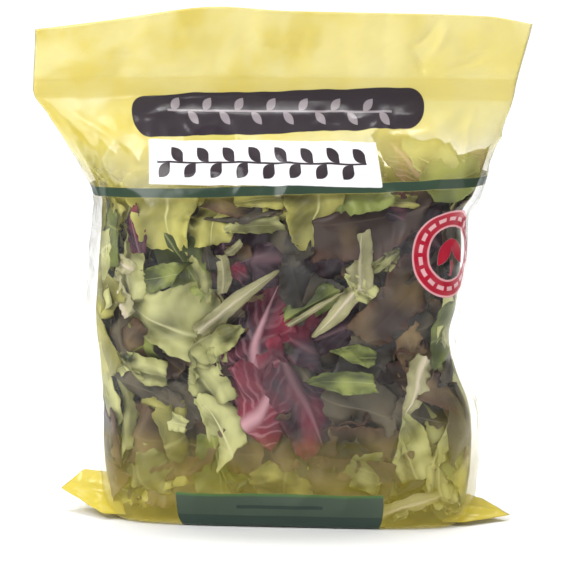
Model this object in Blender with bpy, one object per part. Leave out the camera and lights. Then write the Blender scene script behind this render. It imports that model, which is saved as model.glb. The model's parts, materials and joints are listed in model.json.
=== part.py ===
"""Sealed bag of mixed salad leaves, standing on its folded-under base.

Metres, +Z up, the printed front faces -Y. The film is one tube, sealed flat across the top and folded
under at the base. Loose leaves fill it to the shoulders, the top is empty and flat, and the tube's bottom
corners stick out at the sides. The bag is shut, so film and leaves are one solid, out to the film's outside.
"""

import math

import bmesh
import bpy
from mathutils import Vector, noise

# Driving sizes
BAG_HEIGHT = 0.258
GIRTH = 0.492  # round the filled tube: twice its flat width of 250 mm, less what wrinkles take up
MOST_DEPTH = 0.096  # front to back, where the film has slack to spare
DEPTH_LIMIT = 6.0  # how firmly the section keeps to its largest depth
HEADER_THICKNESS = 0.003  # the two films above the seal, with their waves
FRONT_POINTS = 30  # points across the front of each section
FIRST_LEVELS = (0.0, 0.0015, 0.004)  # sections close together, where the base turns up into the sides
LEVEL_STEP = 0.0058  # between the sections above them

# The front view: how far the film reaches to the left and to the right at each height, all as fractions of
# the bag's height
SIDES = (
    (0.000, -0.328, 0.351),
    (0.016, -0.346, 0.367),
    (0.050, -0.357, 0.378),
    (0.116, -0.370, 0.386),
    (0.213, -0.371, 0.382),
    (0.318, -0.376, 0.342),
    (0.365, -0.382, 0.337),
    (0.426, -0.386, 0.351),
    (0.531, -0.378, 0.359),
    (0.605, -0.370, 0.358),
    (0.636, -0.370, 0.380),
    (0.728, -0.424, 0.411),
    (0.790, -0.467, 0.431),
    (0.825, -0.494, 0.444),
    (0.860, -0.496, 0.450),
    (1.000, -0.492, 0.479),
)
# The cut edge of the header: its height at each place across the front
TOP_EDGE = ((-0.50, 0.954), (-0.35, 0.973), (-0.15, 1.0), (0.0, 0.993), (0.39, 0.984), (0.48, 0.969))

# The sections: an exponent of 2 gives an ellipse, and more is nearer to a rectangle
BASE_SQUARENESS = 5.0
BODY_SQUARENESS = 3.3
NECK_SQUARENESS = 2.3
NECK_FROM = 0.60 * BAG_HEIGHT
NECK_TO = 0.82 * BAG_HEIGHT
BASE_DEPTH = 0.074  # front to back of the flat that the bag stands on
BASE_ROUND = 0.030  # height over which the base swells to the filled section
BASE_SLOPE = 0.009  # how far below the floor that swelling would start, so that the sides leave it at a slope

# Where the leaves push the film out
BUMP_HEIGHT = 0.0022
BUMP_SIZE = 0.034

# The tube's bottom corners: where each leaves the base, its tip and its upper end
EAR_THICKNESS = 0.0022
EAR_INSET = 0.012  # how far an ear runs on inside the body
LEFT_EAR = ((-0.0885, -0.030, 0.0030), (-0.1150, -0.010, 0.0110), (-0.1045, -0.001, 0.0190))
RIGHT_EAR = ((0.0935, -0.028, 0.0022), (0.1160, -0.014, 0.0028), (0.1010, -0.002, 0.0085))

FILM_COLOUR = (0.52, 0.50, 0.24, 1.0)
FILM_ROUGHNESS = 0.3
SHARP_ANGLE = 50  # degrees


def along(rows, at, column):
    """The column's value at `at`, on a smooth curve through the rows, which start with where each lies."""
    at = min(max(at, rows[0][0]), rows[-1][0])
    index = max(i for i in range(len(rows) - 1) if rows[i][0] <= at)
    before, start, end, after = (rows[min(max(index + k, 0), len(rows) - 1)] for k in (-1, 0, 1, 2))
    span = end[0] - start[0]
    t = (at - start[0]) / span
    rise_in = (end[column] - before[column]) / (end[0] - before[0]) * span
    rise_out = (after[column] - start[column]) / (after[0] - start[0]) * span
    return (
        (2 * t**3 - 3 * t**2 + 1) * start[column]
        + (t**3 - 2 * t**2 + t) * rise_in
        + (3 * t**2 - 2 * t**3) * end[column]
        + (t**3 - t**2) * rise_out
    )


def eased(value, start, end):
    """0 before start, 1 after end, and a smooth step between them."""
    t = min(max((value - start) / (end - start), 0.0), 1.0)
    return t * t * (3 - 2 * t)


def section_depth(height, width):
    """Front to back: as deep as the width leaves film for, since the girth doesn't change, up to a limit."""
    spare = max((GIRTH - 2 * width) / (math.pi - 2), HEADER_THICKNESS)
    filled = spare / (1 + (spare / MOST_DEPTH) ** DEPTH_LIMIT) ** (1 / DEPTH_LIMIT)
    swelling = eased(height, -BASE_SLOPE, BASE_ROUND)
    return filled * swelling + BASE_DEPTH * (1 - swelling)


def squareness(height):
    base = eased(height, 0.0, BASE_ROUND)
    neck = eased(height, NECK_FROM, NECK_TO)
    body = BASE_SQUARENESS + (BODY_SQUARENESS - BASE_SQUARENESS) * base
    return body + (NECK_SQUARENESS - body) * neck


def bump(place, height):
    """How far the leaves push the film out here: nothing at the base and in the flat header."""
    filled = eased(height, 0.0, BASE_ROUND) * (1 - eased(height, NECK_FROM, NECK_TO))
    return BUMP_HEIGHT * filled * noise.noise(place / BUMP_SIZE)


def section(height):
    """The points round the bag at one height, from the left side along the front and back along the rear."""
    left, right = (BAG_HEIGHT * along(SIDES, height / BAG_HEIGHT, column) for column in (1, 2))
    width = right - left
    depth = section_depth(height, width)
    power = squareness(height)
    above_seal = eased(height, NECK_TO, BAG_HEIGHT)
    points = []
    for step in range(2 * FRONT_POINTS):
        turn = math.pi * (step / FRONT_POINTS - 0.5)
        across = math.sin(turn)
        reach = (1 - abs(across) ** power) ** (1 / power) if abs(across) < 1 else 0.0
        side = -1 if step < FRONT_POINTS else 1
        x = (left + right) / 2 + width / 2 * across
        place = Vector((x, side * depth / 2 * reach, height))
        out = Vector((across * abs(across) / width, side * reach / depth, 0.0)).normalized()
        place += out * bump(place, height)
        edge = along(TOP_EDGE, x / BAG_HEIGHT, 1)
        place.z -= above_seal * (1 - edge) * BAG_HEIGHT
        points.append(place)
    return points


def lofted_body():
    """The filled tube, closed by a flat base and by the edge of the header."""
    levels = list(FIRST_LEVELS)
    while levels[-1] < BAG_HEIGHT - LEVEL_STEP:
        levels.append(levels[-1] + LEVEL_STEP)
    levels.append(BAG_HEIGHT)
    shape = bmesh.new()
    rings = [[shape.verts.new(place) for place in section(height)] for height in levels]
    count = 2 * FRONT_POINTS
    for lower, upper in zip(rings, rings[1:]):
        for i in range(count):
            j = (i + 1) % count
            shape.faces.new((lower[i], lower[j], upper[j], upper[i]))
    shape.faces.new(list(reversed(rings[0])))
    top = rings[-1]
    for i in range(FRONT_POINTS):
        corners = (top[i], top[i + 1], top[(count - i - 1) % count], top[(count - i) % count])
        shape.faces.new(list(dict.fromkeys(corners)))
    bmesh.ops.recalc_face_normals(shape, faces=shape.faces)
    return shape


def mesh_object(name, shape):
    mesh = bpy.data.meshes.new(name)
    shape.to_mesh(mesh)
    shape.free()
    return bpy.data.objects.new(name, mesh)


def ear(name, corners):
    """A flat corner of the tube, which runs on inwards so that it joins the body."""
    lower, tip, upper = (Vector(corner) for corner in corners)
    inwards = Vector((-math.copysign(EAR_INSET, tip.x), EAR_INSET, 0.0))
    lift = (upper - lower).cross(tip - lower).normalized() * EAR_THICKNESS / 2
    shape = bmesh.new()
    for place in (lower + inwards, lower, tip, upper, upper + inwards):
        shape.verts.new(place + lift)
        shape.verts.new(place - lift)
    bmesh.ops.convex_hull(shape, input=shape.verts)
    bmesh.ops.recalc_face_normals(shape, faces=shape.faces)
    return mesh_object(name, shape)


def printed_film():
    """Thin cast film with a pale yellow print, seen over leaves."""
    material = bpy.data.materials.new("printed film")
    material.use_nodes = True
    surface = material.node_tree.nodes["Principled BSDF"]
    surface.inputs["Base Color"].default_value = FILM_COLOUR
    surface.inputs["Roughness"].default_value = FILM_ROUGHNESS
    return material


def centre_on_base(bag):
    """Puts the origin at the middle of the bounding box's bottom."""
    places = [vertex.co for vertex in bag.data.vertices]
    low = Vector(min(place[axis] for place in places) for axis in range(3))
    high = Vector(max(place[axis] for place in places) for axis in range(3))
    middle = Vector(((low.x + high.x) / 2, (low.y + high.y) / 2, low.z))
    for vertex in bag.data.vertices:
        vertex.co -= middle


def main():
    for old in list(bpy.data.objects):
        bpy.data.objects.remove(old, do_unlink=True)
    collection = bpy.data.collections.new("bag of salad leaves")
    bpy.context.scene.collection.children.link(collection)

    bag = mesh_object("salad_bag", lofted_body())
    collection.objects.link(bag)
    flaps = [ear("left_ear", LEFT_EAR), ear("right_ear", RIGHT_EAR)]
    for flap in flaps:
        collection.objects.link(flap)
        join = bag.modifiers.new(f"join {flap.name}", "BOOLEAN")
        join.operation = "UNION"
        join.object = flap

    graph = bpy.context.evaluated_depsgraph_get()
    whole = bpy.data.meshes.new_from_object(bag.evaluated_get(graph))
    bag.modifiers.clear()
    bag.data = whole
    for flap in flaps:
        bpy.data.objects.remove(flap, do_unlink=True)
    centre_on_base(bag)
    bag.data.materials.clear()
    bag.data.materials.append(printed_film())
    bag.data.shade_smooth()
    bag.data.set_sharp_from_angle(angle=math.radians(SHARP_ANGLE))


main()
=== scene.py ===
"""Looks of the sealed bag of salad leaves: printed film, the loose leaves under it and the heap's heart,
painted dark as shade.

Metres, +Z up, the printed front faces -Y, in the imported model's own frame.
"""

import json
import math
import random
from functools import partial
from typing import NamedTuple

import bmesh
import bpy
import numpy as np
from mathutils import Matrix, Vector, noise

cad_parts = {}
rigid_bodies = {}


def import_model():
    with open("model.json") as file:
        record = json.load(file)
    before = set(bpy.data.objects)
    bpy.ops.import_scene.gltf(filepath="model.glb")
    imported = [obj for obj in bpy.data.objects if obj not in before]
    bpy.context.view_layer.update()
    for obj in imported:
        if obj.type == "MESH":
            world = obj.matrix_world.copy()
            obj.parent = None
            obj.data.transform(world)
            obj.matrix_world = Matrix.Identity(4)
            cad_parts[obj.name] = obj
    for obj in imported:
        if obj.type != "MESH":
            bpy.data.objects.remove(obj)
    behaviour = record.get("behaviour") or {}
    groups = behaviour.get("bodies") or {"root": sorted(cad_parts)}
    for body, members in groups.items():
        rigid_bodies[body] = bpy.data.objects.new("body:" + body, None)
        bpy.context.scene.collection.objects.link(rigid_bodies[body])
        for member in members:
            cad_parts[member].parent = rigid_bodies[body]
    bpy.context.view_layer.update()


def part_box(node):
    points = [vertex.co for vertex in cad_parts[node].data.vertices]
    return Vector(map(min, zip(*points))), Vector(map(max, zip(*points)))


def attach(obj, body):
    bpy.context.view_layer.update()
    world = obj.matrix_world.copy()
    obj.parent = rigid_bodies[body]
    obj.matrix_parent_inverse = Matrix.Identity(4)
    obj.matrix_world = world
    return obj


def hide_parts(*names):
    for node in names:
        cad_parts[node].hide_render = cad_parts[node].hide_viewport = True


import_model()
bag_low, bag_high = (Vector(corner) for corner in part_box("salad_bag"))

# The film tube, as the solid has it
BAG_HEIGHT = bag_high.z - bag_low.z
FLAT_WIDTH = 0.250
GIRTH = 0.492
MOST_DEPTH = 0.096
DEPTH_LIMIT = 6.0
SIDES = (
    (0.000, -0.328, 0.351),
    (0.016, -0.346, 0.367),
    (0.050, -0.357, 0.378),
    (0.116, -0.370, 0.386),
    (0.213, -0.371, 0.382),
    (0.318, -0.376, 0.342),
    (0.365, -0.382, 0.337),
    (0.426, -0.386, 0.351),
    (0.531, -0.378, 0.359),
    (0.605, -0.370, 0.358),
    (0.636, -0.370, 0.380),
    (0.728, -0.424, 0.411),
    (0.790, -0.467, 0.431),
    (0.825, -0.494, 0.444),
    (0.860, -0.496, 0.450),
    (1.000, -0.492, 0.479),
)
TOP_EDGE = ((-0.50, 0.954), (-0.35, 0.973), (-0.15, 1.0), (0.0, 0.993), (0.39, 0.984), (0.48, 0.969))
FROM_MIDDLE = (min(row[1] for row in SIDES) + max(row[2] for row in SIDES)) / 2 * BAG_HEIGHT
MIDDLE = (bag_low.x + bag_high.x) / 2 - FROM_MIDDLE  # where the sides are measured from
BASE_DEPTH = 0.074
BASE_ROUND = 0.030
BASE_SLOPE = 0.009
BASE_SQUARENESS = 5.0
BODY_SQUARENESS = 3.3
NECK_SQUARENESS = 2.3
NECK_FROM = 0.60 * BAG_HEIGHT
NECK_TO = 0.82 * BAG_HEIGHT
BUMP_HEIGHT = 0.0022
BUMP_SIZE = 0.034

FILM_GAP = 0.0008  # between the two films above the seal
SEAL_LOW = 0.2120
SEAL_HIGH = 0.2235
SEAL_RIB = 0.0016  # one crimped rib of the seal
SEAL_EDGE = 0.001  # over which it starts and ends
FILM_STEP = 0.0015  # the film mesh's spacing round the bag and up it


# ----------------------------------------------------------------------------- shared small functions

SMOOTH = {"interpolation_type": "SMOOTHSTEP"}  # of a Map Range node
COLOUR = {"data_type": "RGBA", "out": 2}  # of a Mix node
WHITE = (1, 1, 1, 1)


def hexed(code):
    """An sRGB colour such as "a9b07c" as linear red, green, blue and alpha."""
    parts = [int(code[i : i + 2], 16) / 255 for i in (0, 2, 4)]
    return tuple(p / 12.92 if p <= 0.04045 else ((p + 0.055) / 1.055) ** 2.4 for p in parts) + (1.0,)


def eased(value, start, end):
    """0 before start, 1 after end, and a smooth step between them."""
    t = np.clip((value - start) / (end - start), 0.0, 1.0)
    return t * t * (3 - 2 * t)


def along(rows, at, column):
    """The column's value at `at`, on a smooth curve through the rows, which start with where each lies."""
    at = min(max(at, rows[0][0]), rows[-1][0])
    index = max(i for i in range(len(rows) - 1) if rows[i][0] <= at)
    before, start, end, after = (rows[min(max(index + k, 0), len(rows) - 1)] for k in (-1, 0, 1, 2))
    span = end[0] - start[0]
    t = (at - start[0]) / span
    rise_in = (end[column] - before[column]) / (end[0] - before[0]) * span
    rise_out = (after[column] - start[column]) / (after[0] - start[0]) * span
    return (
        (2 * t**3 - 3 * t**2 + 1) * start[column]
        + (t**3 - 2 * t**2 + t) * rise_in
        + (3 * t**2 - 2 * t**3) * end[column]
        + (t**3 - t**2) * rise_out
    )


def noises(places, size, seed=0.0):
    """Smooth noise from -1 to 1 at each place, with features of about this size."""
    shift = Vector((13.7 * seed, 7.1 * seed, 3.3 * seed))
    return np.array([noise.noise(Vector(place) / size + shift) for place in places])


def ridges(places, size, seed=0.0):
    """Noise with sharp crests, from 0 between them to 1 on them, as creased film and crisp leaves have."""
    return (1 - np.abs(noises(places, size, seed)) * 2).clip(0, 1)


def crumples(places, size, seed=0.0):
    """Straight creases between facets of about this size, 1 on them and 0 off them, as crushed film has."""
    shift = Vector((5.3 * seed, 9.1 * seed, 2.7 * seed))
    nearest = np.array([noise.voronoi(Vector(place) / size + shift)[0][:2] for place in places])
    return np.exp(-(((nearest[:, 1] - nearest[:, 0]) / 0.14) ** 2))


def facets(places, size, seed=0.0):
    """Flat-sided hills and hollows of about this size, between -1 and 1, which meet in sharp creases."""
    shift = Vector((4.1 * seed, 8.3 * seed, 6.7 * seed))
    heights = []
    for place in places:
        (first, second, *_), (centre, *_) = noise.voronoi(Vector(place) / size + shift)
        heights.append((second - first) * math.copysign(1.2, noise.noise(centre * 3.7)))
    return np.array(heights)


def folds(places, size, seed=0.0):
    """Winding folds of about this size, from -1 to 1, with sharp crests both ways."""
    return ridges(places, size, seed) - ridges(places, size, seed + 11)


def ring_faces(rings, around):
    """The faces between closed rings of points, from the first ring to the last."""
    faces = []
    for low in range(0, (rings - 1) * around, around):
        for i in range(around):
            beside = (i + 1) % around
            faces.append((low + i, low + beside, low + around + beside, low + around + i))
    return faces


def grid_faces(rows, columns):
    """The faces of an open grid of points, row by row."""
    firsts = [j * columns + i for j in range(rows - 1) for i in range(columns - 1)]
    return [(k, k + 1, k + columns + 1, k + columns) for k in firsts]


def plain_mesh(name, verts, faces):
    """A mesh of these places and faces."""
    mesh = bpy.data.meshes.new(name)
    mesh.from_pydata([tuple(v) for v in verts], [], [tuple(f) for f in faces])
    mesh.update()
    return mesh


def piece(name, mesh, material):
    """A finished piece: one mesh at the origin, in its finish, which rides on the bag."""
    made = bpy.data.objects.new(name, mesh)
    bpy.context.scene.collection.objects.link(made)
    made.data.materials.clear()
    made.data.materials.append(material)
    made.data.shade_smooth()
    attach(made, "root")
    return made


def connect(node, inputs):
    """Sets a node's inputs, in order or by name or number, to values, or to the outputs they come from."""
    for key, value in inputs.items() if isinstance(inputs, dict) else enumerate(inputs):
        if isinstance(value, bpy.types.NodeSocket):
            node.id_data.links.new(value, node.inputs[key])
        else:
            node.inputs[key].default_value = value


def add(tree, kind, inputs=(), out=0, **settings):
    """Adds a node and gives one of its outputs, or the node itself where out is None.

    The kind is a shader node's unless it says otherwise, and a node's operation may follow its kind.
    """
    kind, *operation = kind.split()
    node = tree.nodes.new(kind if "Node" in kind else f"ShaderNode{kind}")
    if operation:
        node.operation = operation[0]
    for name, value in settings.items():
        setattr(node, name, value)
    connect(node, inputs)
    return node if out is None else node.outputs[out]


def blank_finish(name):
    """A new material: the material, what adds a node to it, and its surface shader."""
    material = bpy.data.materials.new(name)
    material.use_nodes = True
    return material, partial(add, material.node_tree), material.node_tree.nodes["Principled BSDF"]


# ------------------------------------------------------------------------------------- the bag's form

HEIGHTS = np.linspace(0, BAG_HEIGHT, 259)
LEFTS, RIGHTS = (
    np.array([MIDDLE + BAG_HEIGHT * along(SIDES, z / BAG_HEIGHT, column) for z in HEIGHTS])
    for column in (1, 2)
)
CURVE_POINTS = 1201  # along the front of a section, before it is spaced evenly
EVEN_POINTS = 401  # along it then, where places are read from it


def sides_at(height):
    """How far left and right the bag reaches."""
    return np.interp(height, HEIGHTS, LEFTS), np.interp(height, HEIGHTS, RIGHTS)


def depth_at(height):
    """Front to back: as deep as the width leaves film for, since the girth doesn't change, up to a limit."""
    left, right = sides_at(height)
    spare = np.maximum((GIRTH - 2 * (right - left)) / (math.pi - 2), FILM_GAP)
    filled = spare / (1 + (spare / MOST_DEPTH) ** DEPTH_LIMIT) ** (1 / DEPTH_LIMIT)
    tucked = eased(height, -BASE_SLOPE, BASE_ROUND)
    return filled * tucked + BASE_DEPTH * (1 - tucked)


def squareness_at(height):
    """The section's exponent: 2 for an ellipse, and more for nearer to a rectangle."""
    body = BASE_SQUARENESS + (BODY_SQUARENESS - BASE_SQUARENESS) * eased(height, 0.0, BASE_ROUND)
    return body + (NECK_SQUARENESS - body) * eased(height, NECK_FROM, NECK_TO)


def half_section(height, count):
    """Evenly spaced points from the left fold along the front to the right fold: x, and how far forward."""
    left, right = sides_at(height)
    depth, power = depth_at(height), squareness_at(height)
    turn = np.linspace(-math.pi / 2, math.pi / 2, CURVE_POINTS)
    across = np.sin(turn)
    x = (left + right) / 2 + (right - left) / 2 * across
    forward = depth / 2 * (1 - np.abs(across) ** power).clip(0) ** (1 / power)
    run = np.concatenate([[0], np.cumsum(np.hypot(np.diff(x), np.diff(forward)))])
    even = np.linspace(0, run[-1], count)
    return np.interp(even, run, x), np.interp(even, run, forward)


def film_grid(girths, levels):
    """The smooth film at these girths, at levels of (height, share of the depth): places, and their print."""
    places, prints = [], []
    even = np.linspace(0, 1, EVEN_POINTS)
    share = (girths / FLAT_WIDTH + 0.5) % 2
    rear = share > 1
    share = np.where(rear, 2 - share, share)
    for z, of_depth in levels:
        x, forward = half_section(z, EVEN_POINTS)
        y = np.interp(share, even, forward) * np.where(rear, 1, -1) * of_depth
        places.append(np.stack([np.interp(share, even, x), y, np.full(len(girths), z)], 1))
        prints.append(np.stack([girths, np.full(len(girths), z - (1 - of_depth) * BASE_DEPTH / 2)], 1))
    return np.array(places), np.array(prints)


def unit(vectors):
    """The same directions with a length of 1."""
    return vectors / np.maximum(np.linalg.norm(vectors, axis=-1, keepdims=True), 1e-12)


# How leaves are laid under the film: a grid that carries them, past both side folds, and their pressing
LAYING_STEP = 0.002
LAYING_GIRTHS = np.arange(-0.20, 0.46, LAYING_STEP)
LAYING_HEIGHTS = np.arange(0.0, BAG_HEIGHT, LAYING_STEP)
BASE_LIFT = 0.002  # of the lowest leaves off the base
FILM_CLEARANCE = 0.0028  # the film's bumps and creases stay outside this
SECTION_CLEARANCE = 0.8 * FILM_CLEARANCE  # and this far outside the leaves in a level section
PRESS_SOFTNESS = 0.0012  # over which a leaf is flattened rather than cut off
# The room between the leaves and each side of the film: heights, and the room at each
LEFT_ROOM = ((0.0, 0.060, 0.095, 0.115, 0.148, 0.162), (0.0, 0.0, 0.0005, 0.0020, 0.0016, 0.0))
RIGHT_ROOM = ((0.0, 0.022, 0.040, 0.068, 0.084, 0.100), (0.001, 0.0015, 0.0015, 0.0020, 0.0, 0.0))


def kept_from(values, limit, softness):
    """Values that come no lower than the limit, squeezed near it but in the same order."""
    return limit + softness * np.logaddexp(0, (values - limit) / softness)


def laid_under_film(flat):
    """Takes places from the unrolled film (girth, height, outwards) to the bag, and presses them in."""
    surface, _ = film_grid(LAYING_GIRTHS, [(z, 1.0) for z in LAYING_HEIGHTS])
    outwards = unit(np.cross(np.gradient(surface, axis=1), np.gradient(surface, axis=0)))
    u, v, w = flat.T
    v = kept_from(v, BASE_LIFT, 2 * PRESS_SOFTNESS)
    deep = kept_from(-w, FILM_CLEARANCE, PRESS_SOFTNESS)
    i = np.clip((u - LAYING_GIRTHS[0]) / LAYING_STEP, 0, len(LAYING_GIRTHS) - 1.001)
    j = np.clip(v / LAYING_STEP, 0, len(LAYING_HEIGHTS) - 1.001)
    left, below = i.astype(int), j.astype(int)
    a, b = (i - left)[:, None], (j - below)[:, None]

    def between(grid):
        lower = grid[below, left] * (1 - a) + grid[below, left + 1] * a
        upper = grid[below + 1, left] * (1 - a) + grid[below + 1, left + 1] * a
        return lower * (1 - b) + upper * b

    return kept_inside(between(surface) - between(outwards) * deep[:, None])


def kept_inside(places):
    """Moves places in from the film and the base where they come too near, and keeps their order."""
    x, y, z = places.T.copy()
    z = kept_from(z, BASE_LIFT, PRESS_SOFTNESS)
    left, right = sides_at(z)
    left, right = left + np.interp(z, *LEFT_ROOM), right - np.interp(z, *RIGHT_ROOM)
    power = squareness_at(z)
    half = np.maximum((right - left) / 2 - SECTION_CLEARANCE, 0.001)
    deep = np.maximum(depth_at(z) / 2 - SECTION_CLEARANCE, 0.0003)
    dx, dy = x - (left + right) / 2, y
    ratio = np.maximum(((np.abs(dx) / half) ** power + (np.abs(dy) / deep) ** power) ** (1 / power), 1e-6)
    reach = np.hypot(dx, dy) / ratio
    soft = np.minimum(0.5 * PRESS_SOFTNESS, 0.35 * reach)
    scale = (1 - kept_from((1 - ratio) * reach, 0.0, soft) / reach).clip(0) / ratio
    return np.stack([(left + right) / 2 + dx * scale, dy * scale, z], axis=1)


# --------------------------------------------------------------------------------------------- leaves

FINE_GRID = (25, 37)  # points across and along a leaf that shows well
PLAIN_GRID = (15, 23)
SHAPES = 6  # of each kind, and as many again on the plainer grid
LEAF_THICKNESS = 0.010  # of its length
GROWN_TIP = 0.985  # how far along the whole leaf's outline an uncut tip is
VEINS_PER_LEAF = 6.5
VEIN_SLANT = 2.6  # how far up the leaf a branch vein gets, in veins, by the leaf's edge


class LeafKind(NamedTuple):
    """One kind of leaf: its outline and how it crumples."""

    name: str
    width: float  # of its length
    foot: float  # how narrow the leaf is at its foot
    cut: float  # the most that may be cut from its foot, its tip or one side
    ragged: float  # unevenness of the outline
    pleats: float  # how much of its crumpling runs up and down it
    ruffle: float  # height of the waves along its edge, of its length
    crumple: float  # height of its folds, of its length
    keel: tuple  # degrees that each half may rise from the midrib: least and most
    rib: float  # height of the midrib, of its length


def folded(places, rng, angle, radius):
    """Folds a sheet over along a random line, with this radius at the fold."""
    facing = rng.uniform(0, 2 * math.pi)
    across = np.array([math.cos(facing), math.sin(facing)])
    beyond = places[:, :2] @ across - rng.uniform(0.08, 0.24)
    turned = np.clip(beyond / radius, 0, 1) * angle
    straight = np.maximum(beyond - radius, 0)
    run = radius / angle * np.sin(turned) + straight * math.cos(angle) + np.minimum(beyond, 0)
    rise = radius / angle * (1 - np.cos(turned)) + straight * math.sin(angle)
    on_flap = beyond > 0
    out = places.copy()
    lift = places[:, 2] * np.cos(turned)
    slide = places[:, 2] * np.sin(turned)
    out[:, :2] += np.where(on_flap, run - beyond - slide, 0)[:, None] * across
    out[:, 2] = np.where(on_flap, rise + lift, places[:, 2])
    return out


def leaf_outline(kind, rng, seed, s, t):
    """The leaf pressed flat, at shares across (-1 to 1) and along it, cut at its ends and down one side."""
    side = np.sign(s)
    # as much of the whole leaf as is left between the cuts
    foot = kind.foot + rng.uniform(0, kind.cut) * (1 - t)
    grown = foot + (GROWN_TIP - kind.foot - rng.uniform(0, kind.cut)) * t
    outline = np.sin(math.pi * grown) ** 0.9
    slow = noises(np.stack([side * 3, t * 2.3, t * 0 + seed], 1), 1.0)
    quick = noises(np.stack([side * 3, t * 13, t * 0 + seed], 1), 1.0)
    half = outline * (1 + kind.ragged * (1.5 * slow + 0.45 * quick))
    straight = 1 - kind.cut * (rng.uniform(0, 1.6) + rng.uniform(-3, 3) * (t - 0.5))
    cut_side = rng.choice((-1, 1))
    half = kind.width / 2 * np.where(side == cut_side, np.minimum(half, straight), half)
    ends = rng.uniform(-0.3, 0.3) * (1 - t) ** 2 + rng.uniform(-0.5, 0.5) * t**2
    frayed = noises(np.stack([s * 3.5, t * 0.7, t * 0 + seed], 1), 1.0)
    flat = np.stack([s * half, t + ends * s * half - 0.5, s * 0], 1)
    flat[:, 1] += (0.04 * quick * np.abs(s) + 0.04 * frayed) * np.abs(2 * t - 1) ** 3
    flat[:, 0] += rng.uniform(-0.25, 0.25) * (t - 0.5) ** 2
    return flat


def leaf_relief(kind, seed, flat, s, t):
    """How high the crumpled leaf rises at each place, and how much lighter it is painted there: painted light
    on its crests and painted shade in its hollows.
    """
    off_rib, side = np.abs(s), np.sign(s)
    broad, small = folds(flat, 0.85, seed), folds(flat, 0.36, seed + 3)
    fine = facets(flat, 0.085, seed + 5)
    pleats = kind.pleats * folds(np.stack([0.42 * s, 0.25 * t, t * 0], 1), 0.34, seed + 7)
    # painted light and shade: a crest weight, high on the folds' crests and low in their hollows, which only
    # makes the colour lighter or darker
    crest = 0.5 * broad + 0.5 * pleats + 0.2 * small + 0.9 * noises(flat, 0.3, seed + 4)
    crumpled = 1.2 * noises(flat, 0.5, seed + 2) + broad + 0.5 * pleats + 0.3 * small + 0.05 * fine
    height = kind.crumple * crumpled
    # waves along its edge
    wave = np.sin(2 * math.pi * (4.2 * t + seed) + 2.0 * side + 2.5 * noises(flat, 0.3, seed + 1))
    frill = np.sin(2 * math.pi * (9.3 * t + seed) + 3.0 * side + 3.5 * noises(flat, 0.2, seed + 6))
    height += kind.ruffle * off_rib**2.5 * (wave + 0.5 * off_rib**2 * frill)
    # a raised midrib, and branch veins that leave it
    height += kind.rib * np.exp(-((s / 0.10) ** 2)) * (1 - 0.7 * t)
    branch = (t * VEINS_PER_LEAF - off_rib * VEIN_SLANT) % 1.0
    height += 0.3 * kind.rib * np.exp(-(((branch - 0.5) / 0.18) ** 2)) * (1 - off_rib) * (off_rib > 0.06)
    return height, crest


def leaf_shape(kind, number):
    """One leaf, a metre long, growing towards +Y and facing +Z, about the origin. The first are finer."""
    across, rows = FINE_GRID if number < SHAPES else PLAIN_GRID
    rng = random.Random(f"{kind.name} {number}")
    seed = rng.uniform(0, 50)
    s, t = np.meshgrid(np.linspace(-1, 1, across), 1 - (1 - np.linspace(0, 1, rows)) ** 1.2)
    s, t = s.ravel(), t.ravel()
    flat = leaf_outline(kind, rng, seed, s, t)
    height, crest = leaf_relief(kind, seed, flat, s, t)
    # bent along its midrib, folded right over or only bent at up to two places, and bowed
    halves = np.radians([rng.uniform(*kind.keel), rng.uniform(*kind.keel)])
    lift = np.where(s < 0, *halves) * rng.choice((-1, 1))
    x, y, _ = flat.T
    places = np.stack([x * np.cos(lift), y, height + np.abs(x) * np.sin(lift)], 1)
    for _ in range(number % 3):
        over = rng.random() < 0.6
        angle, radius = (rng.uniform(2.3, 2.8), 0.045) if over else (rng.uniform(0.3, 0.8), 0.09)
        places = folded(places, rng, angle * rng.choice((-1, 1)), radius)
    places[:, 2] += rng.uniform(-0.2, 0.2) * places[:, 1] ** 2
    mesh = plain_mesh(f"{kind.name}_{number:02d}", places, grid_faces(rows, across))
    on_leaf = mesh.uv_layers.new(name="leaf")
    for loop in mesh.loops:
        on_leaf.data[loop.index].uv = (s[loop.vertex_index] / 2 + 0.5, t[loop.vertex_index])
    # the crest weight, kept for the painted light on crests and painted shade in hollows
    mesh.attributes.new("crest", "FLOAT", "POINT").data.foreach_set("value", crest)
    made = bpy.data.objects.new(mesh.name, mesh)
    thick = made.modifiers.new("leaf thickness", "SOLIDIFY")
    thick.thickness = LEAF_THICKNESS
    thick.offset = 0
    return made


def scatter_tree():
    """Geometry Nodes: a leaf on every point, turned and sized by the point's attributes, as one mesh."""
    tree = bpy.data.node_groups.new("leaves on points", "GeometryNodeTree")
    sockets = {"Points": "Geometry", "Shapes": "Collection", "Finish": "Material"}
    for name, kind in sockets.items():
        tree.interface.new_socket(name, in_out="INPUT", socket_type=f"NodeSocket{kind}")
    tree.interface.new_socket("Leaves", in_out="OUTPUT", socket_type="NodeSocketGeometry")
    given = add(tree, "NodeGroupInput", out=None).outputs
    turn, size, shape = (
        add(tree, "GeometryNodeInputNamedAttribute", {"Name": name}, out="Attribute", data_type=kind)
        for name, kind in (("turn", "FLOAT_VECTOR"), ("size", "FLOAT_VECTOR"), ("shape", "INT"))
    )
    source = {"Collection": given["Shapes"], "Separate Children": True, "Reset Children": True}
    shapes = add(tree, "GeometryNodeCollectionInfo", source)
    on_points = {
        "Points": given["Points"],
        "Instance": shapes,
        "Pick Instance": True,
        "Instance Index": shape,
        "Rotation": turn,
        "Scale": size,
    }
    placed = add(tree, "GeometryNodeInstanceOnPoints", on_points)
    joined = add(tree, "GeometryNodeRealizeInstances", {"Geometry": placed})
    finished = add(tree, "GeometryNodeSetMaterial", {"Geometry": joined, "Material": given["Finish"]})
    add(tree, "NodeGroupOutput", {"Leaves": finished}, out=None)
    return tree


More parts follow.
